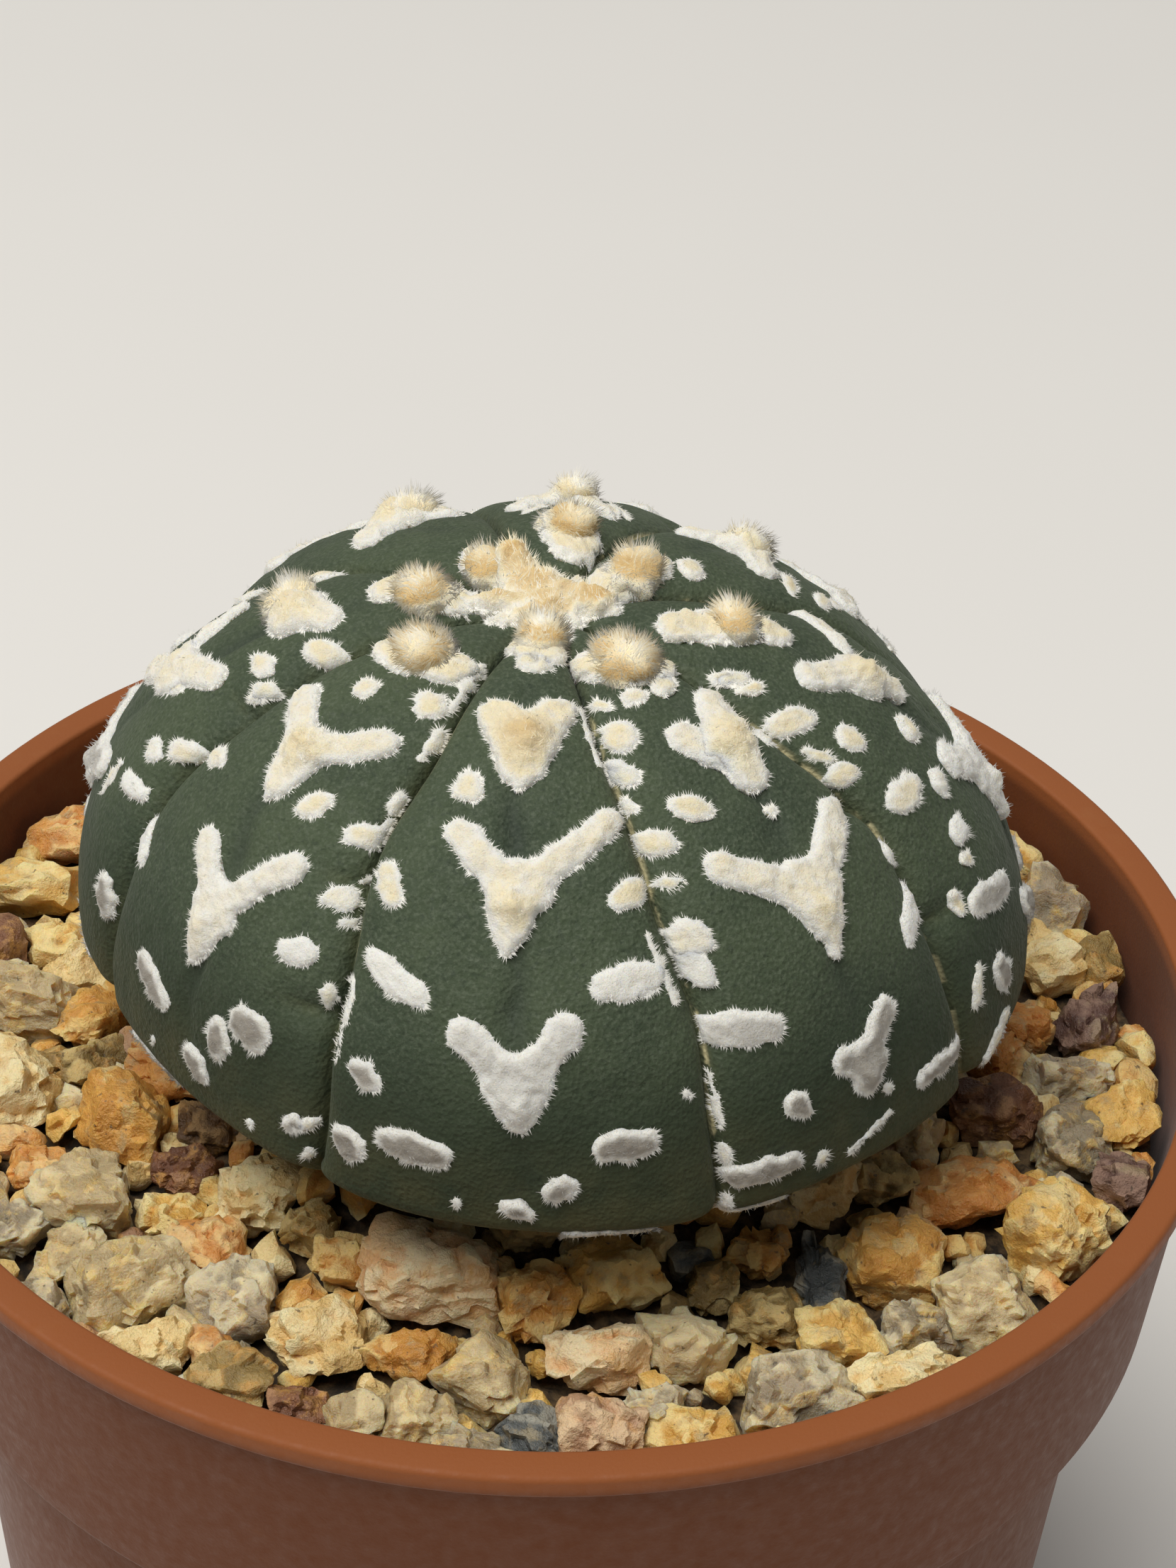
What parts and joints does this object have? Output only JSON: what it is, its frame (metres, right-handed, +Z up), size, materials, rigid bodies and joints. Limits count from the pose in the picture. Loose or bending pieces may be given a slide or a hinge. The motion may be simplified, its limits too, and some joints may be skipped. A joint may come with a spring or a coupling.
{
  "type": "potted star cactus",
  "caption": "Low domed cactus with broad ribs and white woolly marks, standing in mixed grit in a round plastic pot with a deep collar.",
  "frame": {"origin": "centre of the pot's foot ring, on the surface that it stands on", "axes": "+Z up; -Y is the side that the picture shows, +X to its right"},
  "size_m": [0.08, 0.08, 0.0966],
  "materials": {
    "pot_plastic": "satin red-brown moulded plastic with a fine grain",
    "soil_mix": null,
    "grit": "washed mixed grit in ochre, grey, quartz, slate and red-brown",
    "cactus_skin": null,
    "wool": "cream felted wool"
  },
  "bodies": {
    "root": {"pot": "pot_plastic", "soil": "soil_mix", "gravel": "grit", "cactus_body": "cactus_skin", "crown_wool": "wool"}
  },
  "joints": []
}
